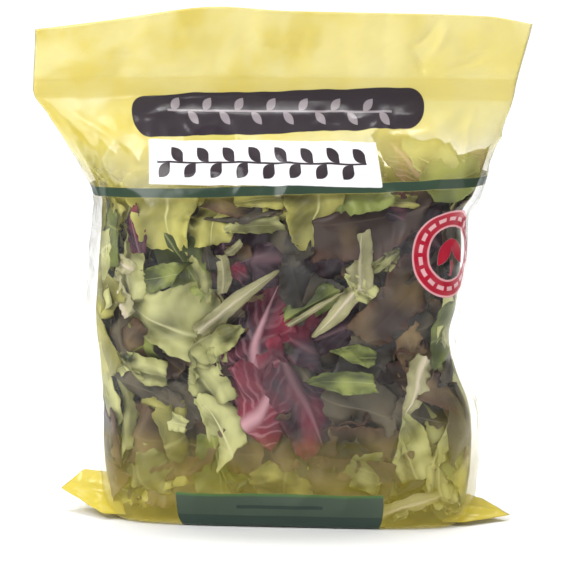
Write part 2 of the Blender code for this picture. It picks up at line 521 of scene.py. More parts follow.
def leaves_on_points(kind, spots, tree, material):
    """One piece of every leaf of a kind. A spot is its place, turn, (width, length), shape and tone."""
    shapes = bpy.data.collections.new(f"{kind.name} shapes")
    for number in range(2 * SHAPES):
        shapes.objects.link(leaf_shape(kind, number))
    points = bpy.data.meshes.new(f"{kind.name} points")
    points.from_pydata([tuple(spot[0]) for spot in spots], [], [])
    sorts = {"turn": "FLOAT_VECTOR", "size": "FLOAT_VECTOR", "shape": "INT", "tone": "FLOAT"}
    for name, sort in sorts.items():
        points.attributes.new(name, sort, "POINT")
    turn, size, shape, tone = (points.attributes[name] for name in sorts)
    for i, (_, matrix, (wide, long), number, shade) in enumerate(spots):
        turn.data[i].vector = matrix.to_euler()
        size.data[i].vector = (wide, long, (wide + long) / 2)
        shape.data[i].value = number
        tone.data[i].value = shade
    holder = bpy.data.objects.new(f"{kind.name} holder", points)
    bpy.context.scene.collection.objects.link(holder)
    scatter = holder.modifiers.new("leaves on points", "NODES")
    scatter.node_group = tree
    values = {"Shapes": shapes, "Finish": material}
    for socket in tree.interface.items_tree:
        if socket.in_out == "INPUT" and socket.name in values:
            scatter[socket.identifier] = values[socket.name]
    graph = bpy.context.evaluated_depsgraph_get()
    mesh = bpy.data.meshes.new_from_object(holder.evaluated_get(graph))
    mesh.name = kind.name
    bpy.data.objects.remove(holder)
    for old in list(shapes.objects):
        bpy.data.objects.remove(old)
    bpy.data.collections.remove(shapes)
    verts = np.empty(len(mesh.vertices) * 3)
    mesh.vertices.foreach_get("co", verts)
    verts = laid_under_film(verts.reshape(-1, 3))
    mesh.vertices.foreach_set("co", verts.ravel())
    mesh.update()
    return piece(kind.name, mesh, material)


KINDS = {
    # name, width, foot, cut, ragged, pleats, ruffle, crumple, keel, rib
    "pale": LeafKind("pale_lettuce", 0.85, 0.14, 0.28, 0.22, 0.8, 0.040, 0.085, (2, 14), 0.020),
    "green": LeafKind("green_lettuce", 0.75, 0.10, 0.28, 0.20, 0.35, 0.036, 0.080, (2, 14), 0.016),
    "dark": LeafKind("dark_spinach", 0.70, 0.08, 0.24, 0.22, 0.15, 0.030, 0.085, (2, 16), 0.012),
    "olive": LeafKind("brown_edged_lettuce", 0.74, 0.10, 0.26, 0.24, 0.25, 0.040, 0.085, (2, 14), 0.014),
    "radicchio": LeafKind("radicchio", 0.80, 0.16, 0.26, 0.20, 0.6, 0.030, 0.090, (3, 16), 0.028),
    "yellow": LeafKind("heart_lettuce", 0.80, 0.16, 0.26, 0.24, 0.8, 0.044, 0.085, (2, 14), 0.022),
    "stem": LeafKind("lettuce_ribs", 0.40, 0.12, 0.24, 0.26, 0.2, 0.030, 0.050, (4, 20), 0.045),
}


def spot(girth, height, depth, turn, tilt, size, shape, tone):
    """Where a leaf lies on the unrolled film: turned in its plane, tilted from it, and this far under it."""
    lean = Matrix.Rotation(math.radians(tilt[0]), 3, "X") @ Matrix.Rotation(math.radians(tilt[1]), 3, "Y")
    return (girth, height, -depth), Matrix.Rotation(math.radians(turn), 3, "Z") @ lean, size, shape, tone


# The leaves that show at the front: kind, then in millimetres how far right of the middle, how high, how deep
# under the film, width and length, then the turn in degrees (0 grows up, 90 to the left), shape, and tone,
# from -1.6, deep in shade, to 1, light
FRONT_LEAVES = (
    # under the green band, left to right
    ("yellow", -77, 163, 4, 24, 26, 160, 0, 0.7),
    ("radicchio", -72, 149, 1, 13, 22, 20, 3, -0.4),
    ("yellow", -86, 147, 3, 14, 30, 5, 2, 0.0),
    ("pale", -88, 140, 4, 16, 26, -10, 4, -0.2),
    ("pale", -80, 156, 6, 22, 28, 40, 4, 0.1),
    ("yellow", -54, 161, 2, 38, 42, 186, 0, 0.9),
    ("green", -52, 141, 4, 26, 58, 219, 3, -0.1),
    ("yellow", -29, 159, 4, 24, 32, 172, 3, 0.4),
    ("olive", -15, 164, 3, 12, 36, 78, 3, -0.2),
    ("yellow", -8, 168, 2, 11, 24, 95, 0, 1.0),
    ("pale", -10, 152, 3, 13, 27, 97, 3, -0.7),
    ("yellow", 2, 161, 4, 9, 15, 60, 1, 0.6),
    ("yellow", 21, 160, 2, 28, 40, 182, 0, 0.2),
    ("olive", 48, 156, 3, 36, 52, 100, 3, -1.5),
    ("radicchio", 74, 150, 4, 30, 44, 60, 3, -1.4),
    ("yellow", 63, 167, 3, 7, 23, 85, 0, -0.1),
    # behind the badge and down the right edge
    ("olive", 84, 140, 7, 28, 36, 20, 4, -0.5),
    ("olive", 92, 150, 9, 26, 40, 10, 0, -0.6),
    ("dark", 93, 134, 10, 30, 42, 0, 3, -0.5),
    ("dark", 92, 118, 9, 26, 40, 0, 1, -0.5),
    # left side
    ("stem", -82, 133, 2, 9, 20, 62, 2, 1.0),
    ("pale", -79, 130, 5, 22, 30, 12, 1, 0.6),
    ("stem", -81, 115, 2, 12, 20, 24, 5, 0.8),
    ("dark", -84, 104, 4, 22, 34, 8, 3, 0.8),
    ("dark", -90, 92, 5, 20, 32, -10, 0, 0.3),
    ("olive", -66, 86, 6, 26, 36, 60, 3, -0.4),
    ("green", -55, 126, 3, 13, 25, 102, 2, 0.5),
    ("dark", -63, 121, 7, 20, 22, 30, 0, -1.2),
    ("pale", -39, 123, 4, 13, 24, 20, 3, -0.5),
    ("pale", -53, 101, 2, 42, 50, 74, 0, 0.1),
    ("pale", -31, 99, 4, 22, 26, -58, 1, -0.4),
    ("olive", -22, 104, 6, 22, 36, -50, 0, 0.2),
    ("pale", -84, 82, 2, 9, 16, 50, 5, 0.6),
    ("pale", -70, 77, 3, 16, 28, 80, 1, -0.5),
    ("dark", -68, 66, 4, 20, 38, -112, 3, 0.7),
    ("olive", -54, 71, 8, 18, 34, 12, 0, -1.2),
    ("dark", -47, 60, 5, 17, 20, 40, 1, 0.9),
    ("pale", -53, 52, 2, 9, 15, 80, 5, 0.6),
    ("pale", -83, 54, 3, 18, 38, 9, 3, -0.7),
    ("pale", -66, 54, 6, 26, 34, 40, 0, -1.2),
    ("pale", -74, 38, 3, 5, 18, 222, 0, 0.0),
    # the middle
    ("radicchio", -34, 135, 7, 32, 44, 22, 0, -1.3),
    ("radicchio", -26, 143, 5, 12, 15, 10, 0, -1.2),
    ("stem", -25, 128, 2, 7, 17, 8, 0, -0.4),
    ("stem", -20, 140, 4, 4, 9, -52, 0, -0.5),
    ("radicchio", -15, 127, 5, 11, 15, 60, 1, -0.6),
    ("radicchio", -8, 138, 7, 34, 46, -60, 3, -1.6),
    ("radicchio", 14, 138, 6, 34, 44, -75, 4, -1.5),
    ("radicchio", 33, 138, 7, 30, 40, 200, 0, -1.5),
    ("dark", 10, 125, 5, 18, 24, 20, 3, -1.4),
    ("stem", -18, 115, 1, 8, 44, -52, 3, 0.1),
    ("radicchio", -8, 99, 3, 38, 46, -14, 0, 0.4),
    ("radicchio", -9, 78, 4, 36, 38, -8, 3, -0.1),
    ("radicchio", 15, 92, 6, 30, 38, 60, 1, -0.9),
    ("dark", 11, 86, 4, 12, 22, 20, 0, -0.3),
    ("radicchio", 30, 100, 5, 28, 46, 115, 0, -1.0),
    ("radicchio", -3, 64, 1, 38, 34, -35, 4, 0.9),
    ("radicchio", 16, 62, 3, 34, 40, 195, 3, -0.4),
    ("stem", 43, 133, 2, 12, 30, 4, 2, -0.1),
    ("pale", 42, 121, 2, 11, 17, 62, 1, 0.4),
    ("stem", 32, 110, 2, 9, 30, 138, 3, 0.6),
    ("stem", 22, 112, 2, 3, 30, -60, 3, 0.1),
    ("green", 20, 114, 4, 13, 30, -62, 3, -0.2),
    ("pale", 53, 138, 4, 8, 19, -70, 1, -0.3),
    ("pale", 55, 131, 3, 8, 21, -50, 4, -0.1),
    ("pale", -38, 76, 5, 24, 30, 25, 1, -0.4),
    ("pale", -29, 85, 3, 12, 17, -30, 4, 0.0),
    ("pale", -28, 51, 1, 23, 30, 30, 3, 0.7),
    # right side
    ("olive", 66, 114, 6, 34, 48, 130, 1, -1.1),
    ("olive", 84, 116, 7, 26, 42, 30, 3, -1.0),
    ("dark", 62, 97, 5, 20, 46, 100, 3, -0.4),
    ("dark", 86, 96, 7, 24, 36, 20, 0, -0.3),
    ("green", 41, 87, 3, 12, 22, 92, 1, 0.1),
    ("green", 34, 74, 3, 13, 32, 93, 4, -0.1),
    ("dark", 38, 60, 5, 30, 44, 76, 0, 0.9),
    ("dark", 58, 54, 7, 26, 34, 110, 3, 0.2),
    ("olive", 55, 71, 8, 26, 34, 100, 3, -1.2),
    ("olive", 74, 84, 5, 22, 30, 20, 1, 0.0),
    ("stem", 73, 71, 1, 12, 34, 144, 3, 0.9),
    ("olive", 86, 76, 4, 18, 30, 0, 3, 0.2),
    ("dark", 80, 54, 4, 22, 36, 78, 3, 0.3),
    ("dark", 92, 58, 6, 18, 26, 10, 0, -0.4),
    # along the bottom
    ("olive", -55, 40, 5, 32, 48, 84, 3, -0.1),
    ("pale", -74, 28, 3, 32, 38, 30, 0, -0.8),
    ("green", -28, 28, 2, 28, 32, 188, 3, -0.1),
    ("olive", -9, 36, 5, 26, 34, 90, 1, -0.3),
    ("olive", 9, 44, 5, 30, 42, 100, 0, -0.3),
    ("olive", 18, 32, 6, 32, 44, 80, 3, -0.6),
    ("yellow", 5, 20, 3, 30, 24, 172, 1, -0.6),
    ("olive", 38, 38, 5, 32, 48, 80, 0, -0.4),
    ("olive", 38, 22, 4, 28, 40, 90, 3, -0.7),
    ("pale", 55, 26, 4, 24, 34, 70, 4, -0.7),
    ("pale", 67, 40, 3, 24, 28, 20, 1, -0.2),
    ("pale", 85, 34, 3, 22, 32, -4, 1, 0.1),
    ("olive", 76, 28, 6, 28, 34, 40, 3, -0.2),
    ("pale", 64, 15, 5, 24, 36, 96, 4, -0.2),
    ("pale", 84, 17, 5, 20, 28, 60, 1, 0.0),
    ("yellow", -78, 12, 4, 26, 40, 80, 3, 0.4),
    ("olive", -58, 18, 4, 26, 36, 100, 0, 0.2),
    # a long narrow dark leaf put as a painted shadow of the film's fold out of the right corner, and a pale
    # rib under it as that fold's painted highlight
    ("dark", 70, 20, 3, 8, 46, -64, 0, -0.6),
    ("stem", 73, 12, 1, 10, 42, -72, 3, 0.7),
    # risen into the shoulders, behind the yellow print
    ("radicchio", 61, 191, 1, 22, 26, 40, 0, 0.5),
    ("pale", 80, 184, 1, 24, 34, 60, 3, 0.3),
    ("green", 92, 176, 1, 22, 34, 100, 0, 0.0),
    ("olive", -101, 193, 1, 12, 20, 50, 1, -0.2),
    ("yellow", -86, 176, 3, 24, 30, 60, 3, -0.2),
    ("green", 40, 174, 4, 26, 32, 95, 0, 0.2),
    # over the left fold
    ("stem", -91, 127, -1, 10, 24, 12, 0, 0.9),
)
FRONT_SCALE = 0.00112  # millimetres to metres, and a little larger for what the crumples take up
FRONT_TILT = 5  # degrees either way, drawn for each leaf
FRONT_DEPTH = 0.0036  # from which the depths above are counted, so that crumpled leaves keep their relief
FRONT_SPACING = 0.0014  # metres for each millimetre of depth above, so that crumpled leaves lie clear

# The rest of the heap: leaves in layers all round, with the depth and number of each, and some on the base
LAYERS = ((0.0030, 74), (0.0085, 80), (0.0145, 84), (0.0215, 66))
FRONT_REACH = 0.100  # as far round as the front leaves go, in the layers that they stand for
FRONT_LAYERS = 0.012  # and as deep
SIDE_LEAVES = 22  # more of them over each side fold, where the leaves reach the film
SIDE_DEPTH = 0.0015
SIDE_FOOT = 0.012
BASE_LEAVES = 22
BASE_REACH = 0.022  # how far in from the film they lie
LAYER_LEAN, SIDE_LEAN = 12, 6  # degrees either way
HEAP_FOOT = 0.010
HEAP_TOP = 0.165
LEAF_LENGTHS = (0.034, 0.056)
LEAF_WIDTHS = (0.8, 1.1)  # of a usual leaf's, for its length
LEAF_TONES = (-0.7, 0.6)
NO_RED_BELOW = 0.050
GOLDEN = 0.6180339  # spreads leaves evenly round the bag, whatever their number
# Between these girths, above this height, some kinds give way to others
GIVEN_WAY = (
    (-0.030, 0.112, 0.036, {"pale": "olive", "yellow": "dark", "green": "olive"}),
    (-0.142, -0.092, 0.070, {"radicchio": "yellow", "dark": "pale", "olive": "yellow"}),
)
MIX = {"pale": 0.22, "green": 0.20, "dark": 0.15, "olive": 0.19, "radicchio": 0.10, "yellow": 0.14}


def front_girth(x, height):
    """The girth at which the front film passes x."""
    xs, _ = half_section(height, EVEN_POINTS)
    return (np.interp(x, xs, np.linspace(0, 1, EVEN_POINTS)) - 0.5) * FLAT_WIDTH


def leaf_spots():
    """Every leaf in the bag, by kind."""
    rng = random.Random(41)
    leans = random.Random(7)
    spots = {key: [] for key in KINDS}

    def leaning(draws, most):
        """A lean of up to this many degrees each way."""
        return draws.uniform(-most, most), draws.uniform(-most, most)

    def fill(girth, height, depth, tilt):
        """Adds a leaf of any kind, size and turn."""
        key = rng.choices(list(MIX), list(MIX.values()))[0]
        key = "yellow" if key == "radicchio" and height < NO_RED_BELOW else key
        for low, high, foot, others in GIVEN_WAY:
            key = others.get(key, key) if low < girth < high and height > foot else key
        long = rng.uniform(*LEAF_LENGTHS)
        size = (long * rng.uniform(*LEAF_WIDTHS), long)
        turn, shape, tone = rng.uniform(0, 360), SHAPES + rng.randrange(SHAPES), rng.uniform(*LEAF_TONES)
        spots[key].append(spot(girth, height, depth, turn, tilt, size, shape, tone))

    for key, x, height, depth, wide, long, turn, shape, tone in FRONT_LEAVES:
        tilt = leaning(leans, FRONT_TILT)
        height, depth = height * 0.001, FRONT_DEPTH + FRONT_SPACING * depth
        size = (FRONT_SCALE * wide / KINDS[key].width, FRONT_SCALE * long)
        girth = front_girth(x * 0.001, height)
        spots[key].append(spot(girth, height, depth, turn, tilt, size, shape, tone))
    for depth, count in LAYERS:
        for number in range(count):
            girth = (number * GOLDEN % 1.0) * 2 * FLAT_WIDTH - FLAT_WIDTH / 2 + rng.uniform(-0.01, 0.01)
            height = HEAP_FOOT + HEAP_TOP * ((number + rng.random()) / count)
            if depth > FRONT_LAYERS or abs(girth) > FRONT_REACH:
                fill(girth, height, depth, leaning(rng, LAYER_LEAN))
    for number in range(2 * SIDE_LEAVES):
        girth = FLAT_WIDTH * (number % 2 - 0.5) + rng.uniform(-0.018, 0.020)
        height = SIDE_FOOT + (HEAP_TOP - SIDE_FOOT) * (number + rng.random()) / (2 * SIDE_LEAVES)
        fill(girth, height, SIDE_DEPTH, leaning(rng, SIDE_LEAN))
    for number in range(BASE_LEAVES):
        girth = (number + rng.random()) / BASE_LEAVES * 2 * FLAT_WIDTH - FLAT_WIDTH / 2
        fill(girth, rng.uniform(0.003, 0.007), BASE_REACH, (rng.choice((-1, 1)) * rng.uniform(80, 90), 0))
    return spots


# Blade in shade, blade in light, vein, edge, and how much of the edge's colour shows
LEAF_COLOURS = {
    "pale": ("6a6a3c", "c8c888", "d4d29e", "aaaa66", 0.3),
    "green": ("434c24", "929a4e", "aab06c", "6a7638", 0.3),
    "dark": ("28241f", "655c49", "746b54", "40362a", 0.3),
    "olive": ("392820", "806b48", "8c7c58", "5a382a", 0.45),
    "radicchio": ("2a1724", "7e2037", "cc9aa2", "451827", 0.3),
    "yellow": ("6a6630", "c6c068", "d6d290", "9c9748", 0.3),
    "stem": ("76744c", "b3ae82", "d6caae", "8a845c", 0.4),
}
# The midrib's width at its foot, as a share of the blade, and how strongly the branch veins show
LEAF_VEINS = {
    "pale": (0.12, 0.20),
    "green": (0.08, 0.16),
    "dark": (0.05, 0.12),
    "olive": (0.07, 0.12),
    "radicchio": (0.34, 0.42),
    "yellow": (0.12, 0.14),
    "stem": (0.60, 0.06),
}
# To a metre of leaf: light and dark patches, wavers of its veins, and cells of its skin, which are drawn
# coarser than they are so that they show
LEAF_PATCHES, LEAF_WAVERS, LEAF_CELLS = 48.0, 130.0, 420.0
RIB_AT_TIP = 0.02  # the midrib's width there
BRANCH_WAVER = 1.3  # how far branch veins waver, in veins
BRANCH_WIDTHS = (0.42, 0.10)  # at the midrib and at the edge
BRANCH_FADE = 0.1  # of their strength is left at the tip
# What adds up to how light a blade is painted: its patches, its crest weight (painted light on crests,
# painted shade in hollows) and its tone, and between which sums its colour changes
PATCH_LIGHT = (0.28, 0.64)
PAINTED_CREST_LIGHT = 0.46
TONE_LIGHT = 0.30
BLADE_LIGHT = (0.22, 0.78)
VEINS_LIT = (-0.6, 0.7, 0.15, 1.0)  # between these tones, this share of the veins shows
WAX = (0.36, 0.55)  # roughness


def leaf_finish(key):
    """Fresh leaf: a waxy, slightly glossy skin, darker between paler veins that branch from the midrib."""
    shade, light, vein, edge, edge_share = LEAF_COLOURS[key]
    rib_share, branch_share = LEAF_VEINS[key]
    material, node, surface = blank_finish(f"fresh {KINDS[key].name.replace('_', ' ')}")
    on_leaf = node("UVMap", uv_map="leaf")
    across, up = node("SeparateXYZ", [on_leaf], out=None).outputs[:2]
    place = node("TexCoord", out="Object")
    tone, crest = (node("Attribute", out="Fac", attribute_name=name) for name in ("tone", "crest"))
    patches, waver, cells = (
        node("TexNoise", {"Vector": place, "Scale": scale, "Detail": detail})
        for scale, detail in ((LEAF_PATCHES, 3.0), (LEAF_WAVERS, 2.0), (LEAF_CELLS, 3.0))
    )
    off_rib = node("Math ABSOLUTE", [node("Math MULTIPLY_ADD", [across, 2.0, -1.0])])
    # the midrib is broad at the foot and fine at the tip
    rib_width = node("MapRange", [up, 0.0, 1.0, rib_share, RIB_AT_TIP])
    rib = node("MapRange", [off_rib, 0.0, rib_width, 1.0, 0.0], **SMOOTH)
    # branch veins slant up from it and fade towards the edge and the tip
    bent = node("Math MULTIPLY", [waver, BRANCH_WAVER])
    slant = node("Math MULTIPLY_ADD", [off_rib, -VEIN_SLANT, bent])
    rise = node("Math MULTIPLY_ADD", [up, VEINS_PER_LEAF, slant])
    branch = node("Math PINGPONG", [rise, 0.5])
    thin = node("MapRange", [off_rib, 0.0, 1.0, *BRANCH_WIDTHS])
    strength = node("MapRange", [up, 0.0, 1.0, branch_share, BRANCH_FADE * branch_share])
    branches = node("MapRange", [branch, 0.0, thin, strength, 0.0], **SMOOTH)
    veins = node("Math MAXIMUM", [rib, branches])
    # painted light on its crests and painted shade in its hollows, over patches of its own lighter and darker
    # colour
    mottled = node("MapRange", [patches, 0.0, 1.0, *PATCH_LIGHT])
    patches_and_painted_crest_shade = node("Math MULTIPLY_ADD", [crest, PAINTED_CREST_LIGHT, mottled])
    toned = node("Math MULTIPLY_ADD", [tone, TONE_LIGHT, patches_and_painted_crest_shade])
    spread = node("MapRange", [toned, *BLADE_LIGHT])
    blade = node("Mix", {0: spread, 6: hexed(shade), 7: hexed(light)}, **COLOUR)
    rim = node("MapRange", [off_rib, 0.5, 1.0, 0.0, edge_share], **SMOOTH)
    rimmed = node("Mix", {0: rim, 6: blade, 7: hexed(edge)}, **COLOUR)
    # the veins hardly show on a leaf in shade
    lit = node("MapRange", [tone, *VEINS_LIT])
    shown = node("Math MULTIPLY", [veins, lit])
    veined = node("Mix", {0: shown, 6: rimmed, 7: hexed(vein)}, **COLOUR)
    skin = node("Math MULTIPLY_ADD", [veins, 0.5, cells])
    bump = node("Bump", {"Strength": 0.25, "Distance": 0.0004, "Height": skin})
    shine = node("MapRange", [patches, 0.3, 0.7, *WAX])
    connect(surface, {"Base Color": veined, "Roughness": shine, "Normal": bump, "Specular IOR Level": 0.25})
    return material


# ---------------------------------------------------------------------------------------- heap's core

CORE_DEPTH = 0.025  # of the core's outside under the film, at the front and rear
CORE_WIDTH = 0.86  # of the filled bag's
CORE_LEAST = 0.002  # half its depth where the bag is thin
CORE_STEP = 0.004
CORE_TOP = 0.178
CORE_SHOULDER = 0.030  # height over which it narrows to half, below its top
CORE_COLUMNS = 64  # along its front, and as many along its rear
CORE_CENTRE = (0, 0, 0.09)
CORE_RELIEF = 0.004
CORE_RELIEF_SIZE = 0.016
CORE_PATCHES = 60.0  # to a metre


def heap_core():
    """The heart of the heap, painted dark as shade so that it shows as dark gaps between leaves: one closed
    form with a leafy relief.
    """
    rings = []
    for z in np.arange(CORE_STEP, CORE_TOP, CORE_STEP):
        x, forward = half_section(z, CORE_COLUMNS + 1)
        middle = sum(sides_at(z)) / 2
        front = np.stack([x, -forward, np.full(CORE_COLUMNS + 1, z)], 1)
        rear = front[1:-1][::-1] * (1, -1, 1)
        ring = np.concatenate([front, rear])
        fall = 1 - 0.5 * eased(z, CORE_TOP - CORE_SHOULDER, CORE_TOP)
        ring[:, 0] = middle + (ring[:, 0] - middle) * CORE_WIDTH * fall
        ring[:, 1] = np.sign(ring[:, 1]) * np.maximum(np.abs(ring[:, 1]) - CORE_DEPTH, CORE_LEAST) * fall
        rings.append(ring)
    verts = np.concatenate(rings)
    out = unit((verts - CORE_CENTRE) * (1, 1, 0.2))
    verts = verts + out * (CORE_RELIEF * (ridges(verts, CORE_RELIEF_SIZE, 3) - 0.5))[:, None]
    around = 2 * CORE_COLUMNS
    faces = ring_faces(len(rings), around)
    faces.append(tuple(reversed(range(around))))
    faces.append(tuple(range(len(verts) - around, len(verts))))
    return piece("heap_core", plain_mesh("heap_core", verts, faces), core_finish())


def core_finish():
    """Packed leaves, painted dark as the shade among them: deep olive green and brown, dull."""
    material, node, surface = blank_finish("packed leaves in shade")
    place = node("TexCoord", out="Object")
    patches = node("TexNoise", {"Vector": place, "Scale": CORE_PATCHES, "Detail": 4.0})
    colours = node("ValToRGB", [patches], out=None)
    for stop, at, code in zip(colours.color_ramp.elements, (0.35, 0.65), ("2c2a22", "4d4a30")):
        stop.position, stop.color = at, hexed(code)
    connect(surface, {"Base Color": colours.outputs[0], "Roughness": 0.7})
    return material


# ----------------------------------------------------------------------------------------------- film

BASE_FILM = 0.0006  # the lowest film's height
UNDER_RINGS = 16  # under the base, from its middle out to its edge
UNDER_REACH = 0.96  # how far out the last of them is, of the way to the edge
WELD = 0.00002
HEADER_GRAIN = (1.0, 1.0, 0.45)  # the waves above the seal run up and down more than across
# Relief of the filled film, then of the film above the seal: height, size, and the noise's seed
WRINKLES, FINE_WRINKLES, CRUSHED = (0.0011, 0.024, 5), (0.0006, 0.012, 8), (0.0005, 0.017, 9)
WAVES, WAVE_RIDGES, RIPPLES = (0.0022, 0.060, 2), (0.0009, 0.026, 4), (0.0006, 0.011, 7)
RIDGE_MEAN = 0.4  # taken off ridges, so that they go in as much as out
HEADER_CREASING = 1.2  # how much higher the header's creases are
SEAL_RELIEF = 0.00025
# The heights where the filled film's relief starts and is full, then where it thins out and ends
BODY_STARTS, BODY_ENDS = (0.002, 0.016), (0.200, 0.214)
HEADER_FROM = 0.196
PATCH_SIZE, PATCH_SEED = 0.045, 6  # of where the film was crushed

# Creases in the film: from and to (girth, height), height and width of the crease, in millimetres
CREASES = (
    # in the header, which both films share
    (80, 256, 66, 240, 1.6, 3.0),
    (66, 240, 72, 226, 1.5, 3.0),
    (84, 252, 76, 236, -1.3, 3.0),
    (104, 238, 84, 229, 1.4, 3.5),
    (-20, 240, 26, 229, 0.5, 4.0),
    (-100, 238, -56, 232, 0.5, 3.5),
    (-52, 256, -44, 234, -0.5, 4.0),
    (-96, 252, -70, 236, 0.5, 5.0),
    # from the ends of the seal down into the neck
    (-112, 206, -80, 186, 1.0, 3.0),
    (-106, 196, -86, 168, 0.9, 2.6),
    (-116, 182, -98, 166, 0.8, 2.6),
    (-60, 208, -56, 180, 0.5, 3.5),
    (-20, 208, -22, 184, 0.4, 4.0),
    (30, 209, 34, 182, 0.5, 3.5),
    (66, 209, 62, 180, 0.6, 3.0),
    (104, 208, 92, 174, 1.0, 3.0),
    (114, 196, 98, 164, 0.8, 2.4),
    (116, 178, 104, 160, 0.7, 2.4),
    # along the filled sides
    (-118, 164, -98, 150, 0.9, 2.4),
    (-124, 140, -106, 104, 1.0, 2.8),
    (-116, 118, -112, 84, 0.8, 2.6),
    (-122, 70, -106, 46, 0.8, 2.6),
    (112, 160, 98, 150, 0.8, 2.4),
    (120, 106, 94, 86, 1.2, 3.0),
    (118, 84, 100, 94, 0.9, 2.6),
    (122, 66, 108, 40, 0.9, 2.8),
    # out of the corners of the folded base
    (56, 6, 100, 22, 1.2, 2.2),
    (58, 6, 94, 9, -0.9, 2.4),
    (56, 8, 86, 36, 0.8, 2.4),
    (54, 9, 68, 32, 0.6, 2.2),
    (-62, 8, -100, 22, 1.0, 2.4),
    (-60, 6, -92, 8, -0.7, 2.2),
    (-60, 10, -84, 34, 0.7, 2.6),
    # where the base was folded under: a line right across, and short ones under it
    (-88, 47, 0, 45, 0.5, 2.2),
    (0, 45, 86, 47, 0.5, 2.2),
    (-60, 30, -20, 24, 0.5, 2.6),
    (10, 30, 48, 22, 0.5, 2.6),
)

CREASE_BOW = 0.05  # how far each bows sideways, of its length
CREASE_WIDTH = 0.0006  # metres for each millimetre of width above, from its crest to most of the way down


def crease_relief(u, v):
    """How far the creases lift the film, with both sides of the bag creased alike."""
    total = np.zeros_like(u)
    for u0, v0, u1, v1, height, width in CREASES:
        start, run = np.array([u0, v0]) * 0.001, np.array([u1 - u0, v1 - v0]) * 0.001
        for girth in (u, FLAT_WIDTH - u):
            to = np.stack([girth - start[0], v - start[1]], 1)
            share = (to @ run / (run @ run)).clip(0, 1)
            away = to - share[:, None] * run
            bow = CREASE_BOW * np.sin(math.pi * share) * np.linalg.norm(run)
            off = np.sign(away[:, 0]) * np.linalg.norm(away, axis=1) - bow
            crest = np.exp(-np.abs(off / (width * CREASE_WIDTH)) ** 1.5)
            total += height * 0.001 * np.sin(math.pi * (0.08 + 0.84 * share)) * crest
    return total


def relief(pattern, places, height, size, seed):
    """A noise of this height, about its mean."""
    return height * (pattern(places, size, seed) - (RIDGE_MEAN if pattern is ridges else 0))


def film_surface(girths, levels):
    """The film as it lies: the smooth form, pushed out by the leaves, creased, and waved above the seal."""
    places, prints = film_grid(girths, levels)
    sideways = film_grid(girths + FILM_STEP, levels)[0] - film_grid(girths - FILM_STEP, levels)[0]
    normals = unit(np.cross(sideways, np.gradient(places, axis=0)))
    flat, normals = places.reshape(-1, 3), normals.reshape(-1, 3)
    u, v = prints.reshape(-1, 2).T
    z = flat[:, 2]
    filled = eased(z, 0.0, BASE_ROUND) * (1 - eased(z, NECK_FROM, NECK_TO))
    body = (1 - eased(z, *BODY_ENDS)) * eased(z, *BODY_STARTS)
    patchy = 0.3 + 0.7 * eased(noises(flat, PATCH_SIZE, PATCH_SEED), -0.3, 0.35)
    lift = BUMP_HEIGHT * filled * noises(flat - (MIDDLE, 0, 0), BUMP_SIZE)
    lift += body * relief(ridges, flat, *WRINKLES)
    lift += body * patchy * (relief(ridges, flat, *FINE_WRINKLES) + relief(crumples, flat, *CRUSHED))
    lift += body * crease_relief(u, v)
    moved = flat + normals * lift[:, None]
    # above the seal the two films are one sheet, which waves
    header = eased(z, HEADER_FROM, SEAL_LOW)
    seal = eased(z, SEAL_LOW - SEAL_EDGE, SEAL_LOW) * (1 - eased(z, SEAL_HIGH, SEAL_HIGH + SEAL_EDGE))
    pressed = np.stack([flat[:, 0], flat[:, 1] * 0, z], 1)
    grained = pressed * HEADER_GRAIN
    wave = relief(noises, pressed, *WAVES) + relief(ridges, grained, *WAVE_RIDGES)
    wave += relief(noises, grained, *RIPPLES) + HEADER_CREASING * crease_relief(flat[:, 0], v)
    moved[:, 1] += header * wave * (1 - 0.7 * seal) + SEAL_RELIEF * seal * np.sin(2 * math.pi * z / SEAL_RIB)
    edge = np.array([along(TOP_EDGE, (x - MIDDLE) / BAG_HEIGHT, 1) for x in flat[:, 0]])
    moved[:, 2] -= eased(z, NECK_TO, BAG_HEIGHT) * (1 - edge) * BAG_HEIGHT
    moved[:, 2] = np.maximum(moved[:, 2], BASE_FILM)
    return moved.reshape(places.shape), prints, normals.reshape(places.shape)


def tube():
    """The whole bag's film, as places, faces and each face corner's place in the print."""
    half = round(FLAT_WIDTH / FILM_STEP)
    girths = np.arange(2 * half) * FLAT_WIDTH / half - FLAT_WIDTH / 2
    levels = [(BASE_FILM, share) for share in np.linspace(0, UNDER_REACH, UNDER_RINGS)]
    levels += [(z, 1.0) for z in np.linspace(BASE_FILM, BAG_HEIGHT, round(BAG_HEIGHT / FILM_STEP))]
    places, prints, _ = film_surface(girths, levels)
    rings, around = places.shape[:2]
    faces = ring_faces(rings, around)
    top = (rings - 1) * around
    for i in range(half):
        corners = (top + i, top + i + 1, top + (around - i - 1) % around, top + (around - i) % around)
        faces.append(tuple(dict.fromkeys(corners)))
    prints = prints.reshape(-1, 2)
    corners = []
    for face in faces:
        on_seam = any(i % around == around - 1 for i in face)
        for i in face:
            past = on_seam and i % around == 0 and len(face) == 4 and max(face) - min(face) > 1
            corners.append((prints[i, 0] + (2 * FLAT_WIDTH if past and i < top + 1 else 0), prints[i, 1]))
    return places.reshape(-1, 3), faces, corners


